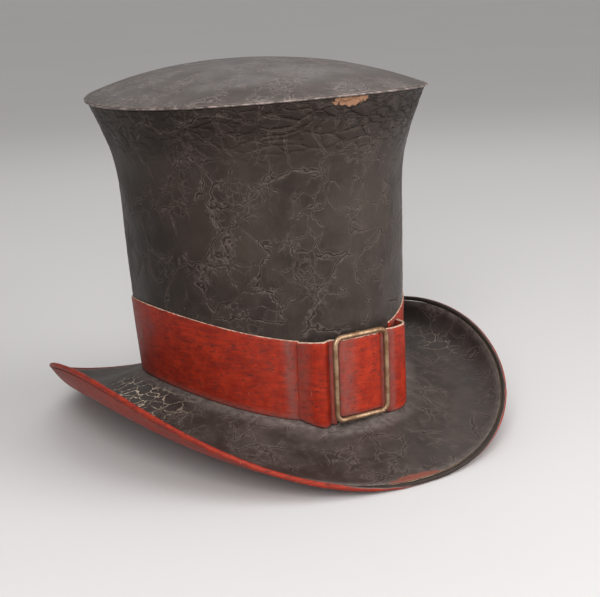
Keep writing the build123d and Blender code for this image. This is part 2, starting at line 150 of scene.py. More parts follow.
def bezier_slope(t, a, b, c, d):
    return (1 - t) ** 2 * (b - a) + 2 * (1 - t) * t * (c - b) + t**2 * (d - c)


def points(x, y, z):
    return np.stack(np.broadcast_arrays(x, y, z), axis=-1).astype(float)


WALL_STEPS = np.linspace(0, 1, 4001)
WALL_SHARES = bezier(WALL_STEPS, 0, *WALL_HANDLES, 1)


def base_level(theta):
    return SEAT - BASE_SADDLE * np.cos(2 * theta)


def tip_level(theta):
    return SEAT + CROWN_HEIGHT + TIP_SADDLE * np.cos(2 * theta)


def wall_share(theta, level):
    """A level above the ground as a share of the crown's height."""
    return (level - base_level(theta)) / (tip_level(theta) - base_level(theta))


def wall_point(theta, share, inset):
    """The bell-shaped wall, moved in by inset. The share is of the crown's height."""
    t = np.interp(share, WALL_SHARES, WALL_STEPS)
    half_length = BASE_HALF_LENGTH - inset + bezier(t, 0, *LENGTH_SWELL, TIP_GROWTH_LENGTH)
    half_width = BASE_HALF_WIDTH - inset + bezier(t, 0, *WIDTH_SWELL, TIP_GROWTH_WIDTH)
    level = lerp(base_level(theta), tip_level(theta), share)
    return points(half_width * np.sin(theta), TIP_SHIFT * share - half_length * np.cos(theta), level)


def base_point(theta, inset, lift):
    """The oval where the brim meets the crown, carried straight up or down."""
    x = (BASE_HALF_WIDTH - inset) * np.sin(theta)
    y = -(BASE_HALF_LENGTH - inset) * np.cos(theta)
    return points(x, y, base_level(theta) + lift)


def dome_point(theta, scale, inset, drop):
    """The domed tip. The scale is 1 at its rim and 0 in its middle."""
    rim = wall_point(theta, 1.0, inset)
    rise = DOME_RISE * (1 - scale**DOME_POWER) + TIP_SADDLE * np.cos(2 * theta) * scale**2
    y = TIP_SHIFT + (rim[..., 1] - TIP_SHIFT) * scale
    return points(rim[..., 0] * scale, y, SEAT + CROWN_HEIGHT + rise - drop)


def edge_point(theta):
    """The brim's outermost edge."""
    along = (np.abs(np.cos(theta)) / BRIM_HALF_LENGTH) ** BRIM_SQUARENESS
    across = (np.abs(np.sin(theta)) / BRIM_HALF_WIDTH) ** BRIM_SQUARENESS
    reach = (along + across) ** (-1 / BRIM_SQUARENESS)
    level = SEAT - EDGE_SWEEP * np.cos(2 * theta) - EDGE_RIPPLE * np.cos(4 * theta)
    return points(reach * np.sin(theta), BRIM_SHIFT - reach * np.cos(theta), level)


def brim_curve(theta):
    """The brim's curve at each angle: its start, outward direction, run and rise controls, and its end."""
    start = base_point(theta, 0, 0)
    across = edge_point(theta) - start
    run = np.hypot(across[..., 0], across[..., 1])
    rise = across[..., 2]
    outward = points(across[..., 0] / run, across[..., 1] / run, 0)
    flat = CURL_EASE ** (CURL_POWER / 2)
    full = (1 + CURL_EASE) ** (CURL_POWER / 2)
    curl = ((np.sin(theta) ** 2 + CURL_EASE) ** (CURL_POWER / 2) - flat) / (full - flat)
    end_slope = lerp(END_SLOPE_FRONT, END_SLOPE_SIDE, curl)
    length = np.hypot(run, rise)
    first = lerp(*INNER_HANDLES, curl) * length
    last = lerp(*OUTER_HANDLES, curl) * length
    runs = (0 * run, first * math.cos(INNER_SLOPE), run - last * np.cos(end_slope), run)
    rises = (0 * run, first * math.sin(INNER_SLOPE), rise - last * np.sin(end_slope), rise)
    return start, outward, runs, rises, end_slope, last


def brim_point(theta, share, depth):
    """The brim, from the crown at share 0 to its rolled edge at share 1. Depth goes down through it."""
    theta, share = np.broadcast_arrays(theta, share)
    start, outward, runs, rises, _, last = brim_curve(theta)
    t = share * (1 - (2 * ROLL_RADIUS + GAP) / (3 * last))
    run, rise = bezier(t, *runs), bezier(t, *rises)
    slope_run, slope_rise = bezier_slope(t, *runs), bezier_slope(t, *rises)
    size = np.hypot(slope_run, slope_rise)
    run = run + depth * slope_rise / size
    rise = rise - depth * slope_run / size
    return start + outward * run[..., None] + points(0, 0, rise)


def roll_frame(theta):
    """The middle of the rolled edge, the direction out of the brim and the one down through it."""
    _, outward, _, _, slope, _ = brim_curve(theta)
    up = points(0, 0, 1 + 0 * theta)
    out = outward * np.cos(slope)[..., None] + up * np.sin(slope)[..., None]
    down = outward * np.sin(slope)[..., None] - up * np.cos(slope)[..., None]
    return edge_point(theta) + (down - out) * ROLL_RADIUS, out, down


def past(theta, degrees):
    """How far an angle is past a direction in degrees, from half a turn back to half a turn on."""
    return (theta - math.radians(degrees) + math.pi) % TURN - math.pi


def near(theta, degrees, width):
    """1 at an angle round the hat, falling smoothly to 0 over a width in degrees."""
    return 1 - smooth(0, math.radians(width), np.abs(past(theta, degrees)))


def hill(low, start, end, high, value):
    """1 from start to end, falling smoothly to 0 at low and at high."""
    return smooth(low, start, value) * (1 - smooth(end, high, value))


def within(start, end, share):
    """1 in the middle of a surface, falling to 0 at share 0, from start, and at share 1, from end."""
    return hill(0, start, end, 1, share)


def first_rows(values, grid):
    """A field with values in the grid's first rows and 0 in the rest."""
    whole = np.zeros(grid.shape[:2])
    whole[: len(values)] = values
    return whole


def directions(theta):
    """Out of the hat and up, at each angle."""
    return points(np.sin(theta), -np.cos(theta), 0), points(0, 0, 1 + 0 * theta)


# ---- Meshes ----
def mesh_piece(name, vertices, faces, fields=None):
    """An object with smooth shading, outward faces and a vertex value for each named field."""
    mesh = bpy.data.meshes.new(name)
    mesh.from_pydata(vertices.reshape(-1, 3).tolist(), [], faces)
    for field, values in (fields or {}).items():
        attribute = mesh.attributes.new(field, "FLOAT", "POINT")
        attribute.data.foreach_set("value", np.asarray(values, np.float32).ravel())
    shape = bmesh.new()
    shape.from_mesh(mesh)
    bmesh.ops.recalc_face_normals(shape, faces=shape.faces)
    shape.to_mesh(mesh)
    shape.free()
    mesh.shade_smooth()
    piece = bpy.data.objects.new(name, mesh)
    bpy.context.scene.collection.objects.link(piece)
    return piece


def grid_faces(rows, columns, wrap_rows, wrap_columns):
    """Four-sided faces over a grid of points, which may close on itself either way."""
    faces = []
    for i in range(rows if wrap_rows else rows - 1):
        below = (i + 1) % rows * columns
        for j in range(columns if wrap_columns else columns - 1):
            side = (j + 1) % columns
            faces.append((i * columns + j, i * columns + side, below + side, below + j))
    return faces


def hoop_piece(name, grid, fields=None):
    """A piece that runs right round the hat. Each column of the grid is its closed section."""
    return mesh_piece(name, grid, grid_faces(*grid.shape[:2], True, True), fields)


def slab_piece(name, front, back, fields=None):
    """A thin piece between two grids of the same size, closed along its four sides."""
    rows, columns = front.shape[:2]
    count = rows * columns
    faces = grid_faces(rows, columns, False, False)
    faces += [tuple(count + v for v in face[::-1]) for face in faces]
    order = np.arange(count).reshape(rows, columns)
    rim = [*order[0], *order[1:, -1], *order[-1, -2::-1], *order[-2:0:-1, 0]]
    rim = [int(v) for v in rim]
    faces += [(a, b, count + b, count + a) for a, b in zip(rim, rim[1:] + rim[:1])]
    vertices = np.concatenate([front.reshape(-1, 3), back.reshape(-1, 3)])
    doubled = {key: np.concatenate([np.ravel(v), np.ravel(v)]) for key, v in (fields or {}).items()}
    return mesh_piece(name, vertices, faces, doubled)


def disc_piece(name, grid, fields=None):
    """A piece closed by a pole at the first and last row of a grid that runs right round."""
    rows, columns = grid.shape[:2]
    faces = grid_faces(rows, columns, False, True)
    top, bottom = rows * columns, rows * columns + 1
    for j in range(columns):
        side = (j + 1) % columns
        faces.append((top, side, j))
        faces.append((bottom, (rows - 1) * columns + j, (rows - 1) * columns + side))
    poles = np.stack([grid[0].mean(0), grid[-1].mean(0)])
    vertices = np.concatenate([grid.reshape(-1, 3), poles])
    padded = {}
    for key, values in (fields or {}).items():
        values = np.broadcast_to(values, (rows, columns))
        padded[key] = np.concatenate([values.ravel(), [values[0].mean(), values[-1].mean()]])
    return mesh_piece(name, vertices, faces, padded)


def tube_rings(middles, across, upward, radii, sides):
    """Rings of points round a line. Across and upward are two directions square to it, at each point."""
    turn = np.linspace(0, TURN, sides, endpoint=False)[:, None, None]
    return middles + radii * (across * np.cos(turn) + upward * np.sin(turn))


# ---- Nodes shared by the materials and the reliefs ----
BROAD_WANDER = 1.4
FINE_WANDER = 0.22


class Tree:
    """Short names for the nodes of a material, or of a relief that moves a mesh's points.

    Sizes, widths and heights are given in millimetres, and a crack's distance is in millimetres too.
    """

    def __init__(self, tree, place, field_kind):
        self.tree = tree
        self.place = place
        self.field_kind = field_kind

    def node(self, kind, inputs=None, **settings):
        node = self.tree.nodes.new(kind)
        for key, value in settings.items():
            setattr(node, key, value)
        for key, value in (inputs or {}).items():
            self.put(node.inputs[key], value)
        return node

    def put(self, socket, value):
        if isinstance(value, bpy.types.NodeSocket):
            self.tree.links.new(value, socket)
        else:
            socket.default_value = value

    def math(self, operation, first, second=0.0, third=0.0):
        inputs = {0: first, 1: second, 2: third}
        return self.node("ShaderNodeMath", inputs, operation=operation).outputs[0]

    def add(self, *terms):
        total = terms[0]
        for term in terms[1:]:
            total = self.math("ADD", total, term)
        return total

    def times(self, *factors):
        product = factors[0]
        for factor in factors[1:]:
            product = self.math("MULTIPLY", product, factor)
        return product

    def layers(self, *layers):
        """A height in metres, from pairs of a value and its millimetres."""
        return self.add(*[self.times(value, amount * MM) for value, amount in layers])

    def vector(self, operation, first, second):
        return self.node("ShaderNodeVectorMath", {0: first, 1: second}, operation=operation).outputs[0]

    def scaled(self, vector, factor):
        node = self.node("ShaderNodeVectorMath", {0: vector, "Scale": factor}, operation="SCALE")
        return node.outputs[0]

    def stretched(self, x, y, z):
        """The place, stretched along each axis, for streaks."""
        return self.vector("MULTIPLY", self.place, (x, y, z))

    def noise(self, size, place=None, detail=2.0, rough=0.5, shift=0.0):
        """Smooth noise from 0 to 1 whose blotches are about size across."""
        return self.noises(size, place, detail, rough, shift)[0]

    def noises(self, size, place, detail, rough, shift):
        """The value of that noise, and three noises in one as a vector."""
        moved = self.vector("ADD", place or self.place, (shift, shift, shift))
        inputs = {"Vector": moved, "Scale": 1 / (size * MM), "Detail": detail, "Roughness": rough}
        return self.node("ShaderNodeTexNoise", inputs, noise_dimensions="3D").outputs

    def wiggle(self, size, amount, detail=2.0, shift=0.0):
        """Noise to both sides of 0."""
        return self.times(self.add(self.noise(size, detail=detail, shift=shift), -0.5), amount)

    def ragged(self, name, size, amount, detail, shift):
        """A field of the mesh with noise added, for a broken edge."""
        return self.add(self.field(name), self.wiggle(size, amount, detail, shift))

    def patches(self, size, low, high, shift, start=0.0, end=1.0, detail=2.0):
        """Start in some patches about size across, and end in the others."""
        return self.ramp(self.noise(size, detail=detail, shift=shift), low, high, start, end)

    def most(self, first, *others):
        for other in others:
            first = self.math("MAXIMUM", first, other)
        return first

    def ramp(self, value, low, high, start=0.0, end=1.0):
        inputs = {"Value": value, "From Min": low, "From Max": high, "To Min": start, "To Max": end}
        return self.node("ShaderNodeMapRange", inputs, interpolation_type="SMOOTHSTEP").outputs[0]

    def field(self, name):
        """A value kept on the mesh's vertices."""
        if self.field_kind == "shader":
            return self.node("ShaderNodeAttribute", attribute_name=name).outputs["Fac"]
        node = self.node("GeometryNodeInputNamedAttribute", {"Name": name}, data_type="FLOAT")
        return node.outputs[0]

    def mix(self, share, first, second):
        node = self.node("ShaderNodeMix", data_type="RGBA")
        self.put(node.inputs[0], share)
        self.put(node.inputs[6], first)
        self.put(node.inputs[7], second)
        return node.outputs[2]

    def over(self, base, top, share, amount):
        """The top colour over the base where the share is 1, as strongly as amount."""
        return self.mix(self.times(share, amount), base, top)

    def crack(self, cell, wander, shift=0.0, place=None):
        """Distance from the nearest of a net of wandering cracks whose cells are about cell across."""
        place = place or self.place
        broad = self.noises(cell * BROAD_WANDER, place, 1.0, 0.5, shift + 3)[1]
        fine = self.noises(cell * FINE_WANDER, place, 2.0, 0.6, shift + 7)[1]
        moved = place
        for bend, reach in ((broad, cell * wander), (fine, cell * wander * FINE_WANDER)):
            centred = self.vector("SUBTRACT", bend, (0.5, 0.5, 0.5))
            moved = self.vector("ADD", moved, self.scaled(centred, reach * MM))
        moved = self.vector("ADD", moved, (shift, shift, shift))
        inputs = {"Vector": moved, "Scale": 1 / (cell * MM)}
        node = self.node("ShaderNodeTexVoronoi", inputs, feature="DISTANCE_TO_EDGE")
        return self.times(node.outputs["Distance"], cell)

    def line(self, distance, width):
        """1 along a crack, 0 at its width from it."""
        return self.ramp(distance, 0.0, width, 1.0, 0.0)

    def open_crack(self, distance, openness, width, lip_start, lip_full, lip_end):
        """The line of an open crack, and the raised lip beside it."""
        line = self.times(self.line(distance, width), openness)
        lip = self.times(self.ramp(distance, lip_start, lip_full), self.line(distance, lip_end), openness)
        return line, lip


def grey(value, warmth=1.0):
    """A warm grey."""
    return (value, value * lerp(1, 0.77, warmth), value * lerp(1, 0.69, warmth), 1)


def colour(red, green, blue):
    return (red, green, blue, 1)


def relief(piece, height):
    """Moves a piece's vertices along their normals by height(tree), times their field "relief"."""
    group = bpy.data.node_groups.new(piece.name + "_relief", "GeometryNodeTree")
    for way in ("INPUT", "OUTPUT"):
        group.interface.new_socket("Geometry", in_out=way, socket_type="NodeSocketGeometry")
    place = group.nodes.new("GeometryNodeInputPosition").outputs[0]
    tree = Tree(group, place, "relief")
    normal = tree.node("GeometryNodeInputNormal").outputs[0]
    offset = tree.scaled(normal, tree.times(height(tree), tree.field("relief")))
    source = tree.node("NodeGroupInput").outputs[0]
    moved = tree.node("GeometryNodeSetPosition", {"Geometry": source, "Offset": offset})
    tree.node("NodeGroupOutput", {0: moved.outputs[0]})
    piece.modifiers.new("relief", "NODES").node_group = group
    bpy.context.view_layer.update()
    graph = bpy.context.evaluated_depsgraph_get()
    flat = piece.data
    piece.data = bpy.data.meshes.new_from_object(piece.evaluated_get(graph))
    piece.data.name = piece.name
    piece.modifiers.clear()
    bpy.data.meshes.remove(flat)
    bpy.data.node_groups.remove(group)


def material(name, build):
    """A node material. build(tree) gives the Principled shader's inputs and a bump height in metres."""
    made = bpy.data.materials.new(name)
    made.use_nodes = True
    made.node_tree.nodes.clear()
    tree = Tree(made.node_tree, None, "shader")
    tree.place = tree.node("ShaderNodeTexCoord").outputs["Object"]
    inputs, height = build(tree)
    bump = tree.node("ShaderNodeBump", {"Height": height, "Distance": 1.0, "Strength": 1.0})
    shader = tree.node("ShaderNodeBsdfPrincipled", {**inputs, "Normal": bump.outputs[0]})
    tree.node("ShaderNodeOutputMaterial", {"Surface": shader.outputs[0]})
    return made


# ---- The black paint ----
WARM_GLOSS = colour(1.0, 0.78, 0.67)


def painted(paint, rough, gloss):
    """The shader's inputs for a layer of paint."""
    return {"Base Color": paint, "Roughness": rough, "Specular IOR Level": gloss, "Specular Tint": WARM_GLOSS}


BARE_LEATHER_DARK = colour(0.16, 0.072, 0.037)
BARE_LEATHER_LIGHT = colour(0.28, 0.155, 0.094)


def main_cracks(tree):
    """The large open cracks of the old paint, and how open they are."""
    return tree.crack(30, 1.1), tree.patches(17, 0.38, 0.5, 11)


def small_cracks(tree):
    """The smaller cracks between them, and how open they are."""
    return tree.crack(12, 1.2, shift=5), tree.patches(24, 0.5, 0.62, 17)


def rim_wrinkles(tree):
    """Creases that lie along the hat, under the tip's edge: 1 along each crease."""
    flat = tree.stretched(1, 1, 2.3)
    distance = tree.crack(15, 1.5, shift=2, place=flat)
    return tree.times(tree.line(distance, 2.4), tree.field("wrinkled"))


def wall_height(tree):
    """What of the wall's relief the mesh carries: grooves, cupped plates, dents and creases."""
    main, main_open = main_cracks(tree)
    groove = tree.times(tree.line(main, 2.2), main_open)
    lip = tree.times(tree.line(main, 6), main_open)
    dents = tree.noise(45)
    return tree.layers((groove, -0.3), (lip, 0.25), (dents, 1.0), (rim_wrinkles(tree), -0.8), (1.0, -0.45))


def black_wall(tree):
    main, main_open = main_cracks(tree)
    small, small_open = small_cracks(tree)
    wiggle = tree.wiggle(3, 0.9)
    main = tree.add(main, wiggle)
    small = tree.add(small, wiggle)
    main_line, main_lip = tree.open_crack(main, main_open, 0.7, 0.2, 0.5, 1.5)
    small_line, small_lip = tree.open_crack(small, small_open, 0.6, 0.2, 0.5, 1.3)
    fine = tree.crack(5, 1.3, shift=9)
    fine_line = tree.times(tree.line(fine, 0.45), tree.patches(28, 0.54, 0.66, 23))
    wrinkles = rim_wrinkles(tree)
    mottle = tree.noise(14, detail=6.0, rough=0.65, shift=31)
    cloud = tree.noise(60, detail=3.0, rough=0.5, shift=35)
    paint = tree.mix(tree.ramp(mottle, 0.3, 0.7), grey(0.012), grey(0.026))
    paint = tree.mix(tree.ramp(cloud, 0.4, 0.65, 0.0, 0.5), paint, colour(0.034, 0.024, 0.018))
    # Painted shade: darker under the tip and on the wall's left side.
    paint = tree.over(paint, grey(0.006), tree.field("painted_shade"), 0.75)
    scuff = tree.noise(5, tree.stretched(2.4, 2.4, 0.5), 4.0, 0.7, shift=27)
    paint = tree.mix(tree.ramp(scuff, 0.55, 0.8, 0.0, 0.5), paint, grey(0.05))
    # The pale lips are partly dust and partly a painted highlight on the raised crack edges.
    lips = tree.most(main_lip, tree.times(small_lip, 0.8), tree.times(fine_line, 0.5))
    paint = tree.over(paint, grey(0.1), lips, 0.7)
    # Painted shade: the cracks and creases are darkened where shade falls in them.
    grooves = tree.most(tree.times(small_line, 0.7), wrinkles, main_line)
    paint = tree.over(paint, grey(0.006), grooves, 0.4)
    dots = tree.node("ShaderNodeTexVoronoi", {"Vector": tree.place, "Scale": 1 / (9 * MM)}).outputs[0]
    dot = tree.times(tree.ramp(dots, 0.0, 0.055, 1.0, 0.0), tree.patches(26, 0.52, 0.6, 45))
    paint = tree.over(paint, grey(0.35, 0.5), dot, 0.8)
    chip = tree.ramp(tree.ragged("bare", 3.5, 0.55, 2.0, 51), 0.48, 0.52)
    leather = tree.mix(tree.noise(3, detail=4.0, shift=3), BARE_LEATHER_DARK, BARE_LEATHER_LIGHT)
    paint = tree.mix(chip, paint, leather)
    grain = tree.noise(1.1, detail=3.0, rough=0.6, shift=61)
    satin = tree.patches(24, 0.3, 0.7, 71, 0.34, 0.46, detail=3.0)
    rough = tree.add(satin, tree.times(lips, 0.15), tree.times(chip, 0.3))
    rough = tree.add(rough, tree.times(tree.field("painted_shade"), 0.1))
    height = tree.layers(
        (main_line, -0.4),
        (main_lip, 0.1),
        (small_line, -0.28),
        (fine_line, -0.08),
        (grain, 0.06),
        (mottle, 0.35),
        (scuff, 0.08),
        (wrinkles, -0.7),
        (chip, -0.4),
    )
    return painted(paint, rough, 0.28), height


def dome_height(tree):
    small, small_open = small_cracks(tree)
    groove = tree.times(tree.line(small, 1.3), small_open)
    return tree.layers((tree.noise(50, shift=4), 0.8), (groove, -0.25), (1.0, -0.4))


def black_dome(tree):
    small, small_open = small_cracks(tree)
    small = tree.add(small, tree.wiggle(3, 0.8))
    small_line, small_lip = tree.open_crack(small, small_open, 0.7, 0.3, 0.6, 1.5)
    fine = tree.crack(5, 1.3, shift=9)
    fine_line = tree.times(tree.line(fine, 0.5), tree.patches(22, 0.46, 0.6, 23))
    combed = tree.noise(5, tree.stretched(1.6, 0.5, 1), 4.0, 0.65, shift=27)
    mottle = tree.noise(18, detail=6.0, rough=0.65, shift=31)
    paint = tree.mix(tree.ramp(mottle, 0.3, 0.7), grey(0.03), grey(0.052))
    # The pale lips are partly dust and partly a painted highlight on the raised crack edges.
    lips = tree.most(small_lip, tree.times(fine_line, 0.7))
    paint = tree.over(paint, grey(0.26, 0.7), lips, 0.8)
    # Painted shade: the cracks are darkened where shade falls in them.
    paint = tree.over(paint, grey(0.012), small_line, 0.4)
    flake = tree.times(tree.ramp(combed, 0.58, 0.66), tree.field("flaked"))
    paint = tree.over(paint, grey(0.2), flake, 0.7)
    # Painted highlight: the dome's outer edge is paled, as part of the light line along the tip's edge.
    rim = tree.ramp(tree.ragged("rim", 4, 0.5, 3.0, 47), 0.7, 0.95)
    paint = tree.over(paint, grey(0.3), rim, 0.6)
    grain = tree.noise(1.0, detail=3.0, rough=0.6, shift=61)
    satin = tree.patches(30, 0.3, 0.7, 71, 0.36, 0.5, detail=3.0)
    rough = tree.add(satin, tree.times(lips, 0.15))
    height = tree.layers(
        (small_line, -0.3),
        (small_lip, 0.08),
        (fine_line, -0.1),
        (grain, 0.04),
        (tree.times(combed, tree.field("flaked")), 0.5),
        (mottle, 0.2),
    )
    return painted(paint, rough, 0.35), height


def brim_height(tree):
    small, small_open = small_cracks(tree)
    groove = tree.times(tree.line(small, 1.2), small_open)
    return tree.layers((tree.noise(45, shift=8), 0.7), (groove, -0.2), (1.0, -0.35))


def black_brim(tree):
    net = tree.crack(11, 1.2, shift=5)
    cream_open = tree.times(tree.field("cracked"), tree.patches(14, 0.3, 0.44, 19))
    wiggle = tree.wiggle(2.5, 0.9)
    cream_line = tree.times(tree.line(tree.add(net, wiggle), 0.52), cream_open)
    faint = tree.add(tree.crack(19, 1.2, shift=15), wiggle)
    faint_open = tree.patches(26, 0.42, 0.54, 29)
    faint_line, faint_lip = tree.open_crack(faint, faint_open, 0.8, 0.4, 0.8, 2)
    scuff = tree.noise(6, tree.stretched(1.0, 0.6, 1.0), 6.0, 0.72, shift=33)
    mottle = tree.noise(20, detail=6.0, rough=0.65, shift=31)
    paint = tree.mix(tree.ramp(mottle, 0.3, 0.7), grey(0.02), grey(0.045))
    paint = tree.mix(tree.ramp(scuff, 0.5, 0.72, 0.0, 0.6), paint, grey(0.075))
    # Painted shade: the brim is darkened on its right and left sides.
    paint = tree.over(paint, grey(0.008), tree.field("painted_shade"), 0.6)
    # The pale lips are partly dust and partly a painted highlight on the raised crack edges; the crack lines
    # below are darkened as painted shade.
    paint = tree.over(paint, grey(0.15), faint_lip, 0.45)
    paint = tree.over(paint, grey(0.01), faint_line, 0.35)
    paint = tree.over(paint, colour(0.48, 0.39, 0.3), cream_line, 0.95)
    dust = tree.times(tree.field("dust_and_shading"), tree.patches(5, 0.3, 0.7, 37, 0.35, 1.0, detail=5.0))
    paint = tree.over(paint, grey(0.2, 0.8), dust, 0.65)
    bare = tree.ramp(tree.ragged("bare", 6, 0.8, 4.0, 51), 0.45, 0.6)
    paint = tree.over(paint, colour(0.16, 0.045, 0.03), bare, 0.9)
    grain = tree.noise(1.2, detail=3.0, rough=0.6, shift=61)
    rough = tree.add(tree.ramp(mottle, 0.3, 0.7, 0.42, 0.54), tree.times(dust, 0.3))
    height = tree.layers(
        (cream_line, -0.2),
        (faint_line, -0.18),
        (faint_lip, 0.08),
        (grain, 0.05),
        (scuff, 0.15),
        (mottle, 0.25),
        (tree.field("pit"), -0.8),
    )
    return painted(paint, rough, 0.28), height


# ---- The red paint ----
RED_DEEP = colour(0.18, 0.0105, 0.0045)
RED_BRIGHT = colour(0.3, 0.021, 0.0065)


def red_relief(tree):
    return tree.layers((tree.noise(28, shift=6), 0.6), (1.0, -0.3))


def red_paint(tree):
    """Worn red paint. Fields: "dust_and_shading" greys it, as dust and, on the strap, as painted shading;
    "wear_and_highlight" bares the pale ground, as wear and, on the bead's upper side, as a painted highlight;
    "blacked" covers it with black paint, whose edge is pale where it is "rubbed"."""
    mottle = tree.noise(11, detail=6.0, rough=0.66, shift=31)
    brushed = tree.noise(5, tree.stretched(0.35, 0.35, 2.4), 4.0, 0.65, shift=13)
    paint = tree.mix(tree.ramp(mottle, 0.3, 0.7), RED_DEEP, RED_BRIGHT)
    paint = tree.mix(tree.ramp(brushed, 0.45, 0.7, 0.0, 0.55), paint, colour(0.1, 0.009, 0.006))
    specks = tree.noise(3, tree.stretched(0.7, 0.7, 1.9), 5.0, 0.72, shift=43)
    grime = tree.ramp(specks, 0.54, 0.66)
    paint = tree.over(paint, colour(0.035, 0.012, 0.01), grime, 0.72)
    # This grey is dust, and on the strap's rolls, grooves and bulge it is painted shading.
    dust = tree.times(tree.field("dust_and_shading"), tree.patches(4, 0.25, 0.7, 37, 0.45, 1.0, detail=5.0))
    paint = tree.over(paint, colour(0.135, 0.065, 0.056), dust, 0.8)
    # Pale where worn, and along the bead's upper side as a painted highlight.
    wear_and_highlight = tree.ramp(tree.ragged("wear_and_highlight", 3, 0.6, 4.0, 51), 0.45, 0.62)
    paint = tree.mix(wear_and_highlight, paint, colour(0.45, 0.32, 0.24))
    overrun = tree.ragged("blacked", 7, 0.7, 4.0, 67)
    paint = tree.mix(tree.ramp(overrun, 0.42, 0.5), paint, grey(0.022))
    rub = tree.ramp(tree.math("ABSOLUTE", tree.add(overrun, -0.5)), 0.0, 0.22, 0.75, 0.0)
    paint = tree.mix(tree.times(rub, tree.field("rubbed")), paint, grey(0.16))
    scratch = tree.noise(7, tree.stretched(2.6, 2.6, 0.35), 3.0, 0.7, shift=57)
    paint = tree.mix(tree.ramp(scratch, 0.7, 0.73, 0.0, 0.35), paint, colour(0.4, 0.16, 0.1))
    satin = tree.ramp(mottle, 0.3, 0.7, 0.36, 0.5)
    rough = tree.add(satin, tree.times(dust, 0.25), tree.times(wear_and_highlight, 0.2))
    height = tree.layers(
        (tree.noise(1.0, detail=3.0, shift=61), 0.05),
        (brushed, 0.12),
        (mottle, 0.3),
        (grime, -0.1),
        (wear_and_highlight, -0.1),
    )
    return painted(paint, rough, 0.18), height


# ---- The other finishes ----
def edge_highlight(tree):
    """A pale grey line along the tip's edge, mottled with darker grey: a painted highlight."""
    mottle = tree.noise(6, detail=5.0, rough=0.65, shift=5)
    paint = tree.mix(tree.ramp(mottle, 0.35, 0.75), grey(0.045), grey(0.3))
    height = tree.layers((tree.noise(1.5, detail=4.0, shift=9), 0.15))
    return {"Base Color": paint, "Roughness": 0.5}, height


def brass(tree):
    """Old gilt brass: bright and brown in patches from one noise, with small dark spots."""
    mottle = tree.noise(9, detail=6.0, rough=0.6, shift=2)
    patina = tree.ramp(mottle, 0.36, 0.64)
    metal = tree.mix(patina, colour(0.33, 0.215, 0.13), colour(0.17, 0.09, 0.045))
    spots = tree.ramp(tree.noise(1.8, detail=3.0, shift=12), 0.64, 0.72)
    metal = tree.over(metal, colour(0.04, 0.022, 0.012), spots, 0.85)
    rough = tree.ramp(mottle, 0.35, 0.65, 0.36, 0.55)
    height = tree.layers((mottle, 0.12), (spots, -0.1))
    return {"Base Color": metal, "Metallic": 0.75, "Roughness": rough}, height


def two_tone(size, stretch, detail, rough, shift, dark, light, gloss, bump, metal=0.0):
    """A finish with one noise for its two colours and its height."""

    def build(tree):
        tone = tree.noise(size, tree.stretched(*stretch), detail, rough, shift=shift)
        inputs = {"Base Color": tree.mix(tone, dark, light), "Metallic": metal, "Roughness": gloss}
        return inputs, tree.layers((tone, bump))

    return build


STEEL = (colour(0.3, 0.29, 0.27), colour(0.5, 0.48, 0.45))
PASTEBOARD = (colour(0.2, 0.13, 0.07), colour(0.36, 0.26, 0.16))
LINEN = (colour(0.3, 0.23, 0.14), colour(0.6, 0.5, 0.36))


def hide(tree):
    """Tan sheepskin: fine pebbled grain, darkened by wear towards its lower edge."""
    pores = tree.node("ShaderNodeTexVoronoi", {"Vector": tree.place, "Scale": 1 / (0.9 * MM)}).outputs[0]
    mottle = tree.noise(18, detail=5.0, rough=0.6, shift=7)
    leather = tree.mix(tree.ramp(mottle, 0.3, 0.7), colour(0.17, 0.08, 0.035), colour(0.3, 0.16, 0.075))
    leather = tree.over(leather, colour(0.08, 0.04, 0.02), tree.field("dust_and_shading"), 0.6)
    height = tree.layers((pores, 0.06), (mottle, 0.2))
    return {"Base Color": leather, "Roughness": 0.55}, height


def woven(size, dark, light):
    """Plain weave with threads size apart, between two colours."""

    def build(tree):
        split = tree.node("ShaderNodeSeparateXYZ", {0: tree.place})
        swing = TURN / (size * MM)
        across = tree.math("SINE", tree.times(tree.add(split.outputs[0], split.outputs[1]), swing))
        raised = tree.add(split.outputs[2], tree.times(split.outputs[1], 0.3))
        upward = tree.math("SINE", tree.times(raised, swing))
        weave = tree.ramp(tree.times(across, upward), -1.0, 1.0)
        stain = tree.noise(35, detail=5.0, rough=0.6, shift=3)
        share = tree.add(tree.times(weave, 0.5), tree.times(stain, 0.5))
        height = tree.layers((weave, 0.06))
        inputs = {"Base Color": tree.mix(share, dark, light), "Roughness": 0.9, "Sheen Weight": 0.2}
        return inputs, height

    return build


FINISHES = {
    "black_wall": black_wall,
    "black_dome": black_dome,
    "black_brim": black_brim,
    "red": red_paint,
    "edge_highlight": edge_highlight,
    "brass": brass,
    "steel": two_tone(1.5, (1, 1, 0.3), 3.0, 0.5, 4, *STEEL, 0.4, 0.02, metal=1.0),
    "hide": hide,
    "cotton": woven(0.7, colour(0.3, 0.24, 0.16), colour(0.55, 0.47, 0.35)),
    "tape": woven(1.1, colour(0.05, 0.045, 0.04), colour(0.11, 0.1, 0.085)),
    "board": two_tone(2.5, (0.4, 0.4, 1.6), 5.0, 0.7, 3, *PASTEBOARD, 0.9, 0.1),
    "linen": two_tone(0.8, (1, 1, 0.5), 3.0, 0.6, 0, *LINEN, 0.75, 0.08),
}
MATERIALS = {name: material(name, build) for name, build in FINISHES.items()}


def finish_piece(piece, finish, body, node):
    """Gives a piece its material and its body, and hides the CAD node that it stands for."""
    piece.data.materials.append(MATERIALS[finish])
    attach(piece, body)
    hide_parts(node)


def angles(count):
    return np.linspace(0, TURN, count, endpoint=False)[None, :]


